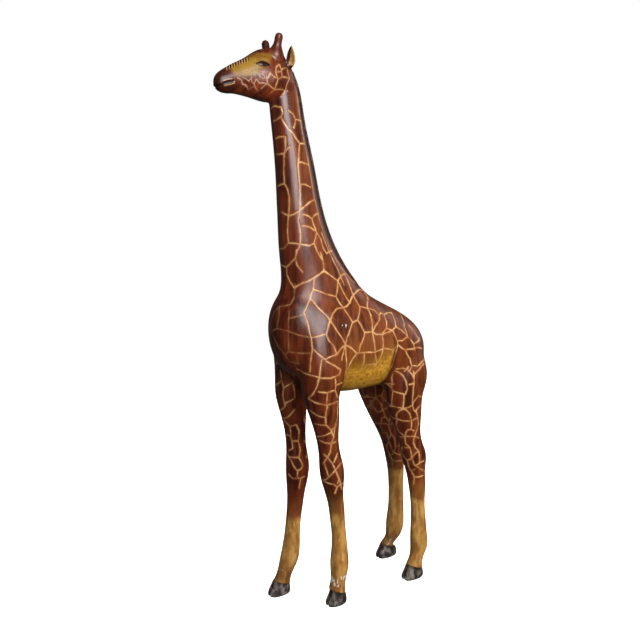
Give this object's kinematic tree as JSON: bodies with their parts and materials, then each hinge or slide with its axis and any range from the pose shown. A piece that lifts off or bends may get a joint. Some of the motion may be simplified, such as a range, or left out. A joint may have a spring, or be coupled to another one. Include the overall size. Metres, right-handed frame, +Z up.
{
  "type": "carved giraffe statue",
  "caption": "Standing carved wooden giraffe with tall upright neck, reticulated pale lines on stained brown wood, olive belly, tan shins, dark cloven hooves and blunt horns",
  "frame": {"origin": "centre of the bounding box in X and Y, on the floor plane the four hooves stand on", "axes": "+Z up, along the legs and neck; the animal looks along -Y; +X is the animal's left side"},
  "size_m": [0.197, 0.548, 1.1849],
  "materials": {
    "painted_wood": "carved wood stained dark red-brown, scored with pale tan lines, shaded olive and tan, glossy varnish",
    "horn_wood": "turned wood stained dark red-brown, glossy varnish",
    "ear_wood": "carved wood, dark brown outside and tan inside the cup, varnished",
    "mane_wood": "wood strip stained near black, slanting saw cuts, varnished",
    "hoof_wood": "carved wood painted mottled dark grey, satin varnish",
    "eye_bead": "dark brown bead with a wet gloss",
    "dowel_wood": "plain unfinished hardwood dowel"
  },
  "bodies": {
    "root": {"torso": "painted_wood", "neck": "painted_wood", "head": "painted_wood", "front_left_leg": "painted_wood", "front_right_leg": "painted_wood", "rear_left_leg": "painted_wood", "rear_right_leg": "painted_wood", "tail": "painted_wood", "left_horn": "horn_wood", "right_horn": "horn_wood", "left_ear": "ear_wood", "right_ear": "ear_wood", "mane": "mane_wood", "front_left_hoof": "hoof_wood", "front_right_hoof": "hoof_wood", "rear_left_hoof": "hoof_wood", "rear_right_hoof": "hoof_wood", "left_eye": "eye_bead", "right_eye": "eye_bead", "leg_dowels": "dowel_wood", "hoof_dowels": "dowel_wood", "neck_dowel": "dowel_wood", "head_dowel": "dowel_wood"}
  },
  "joints": []
}
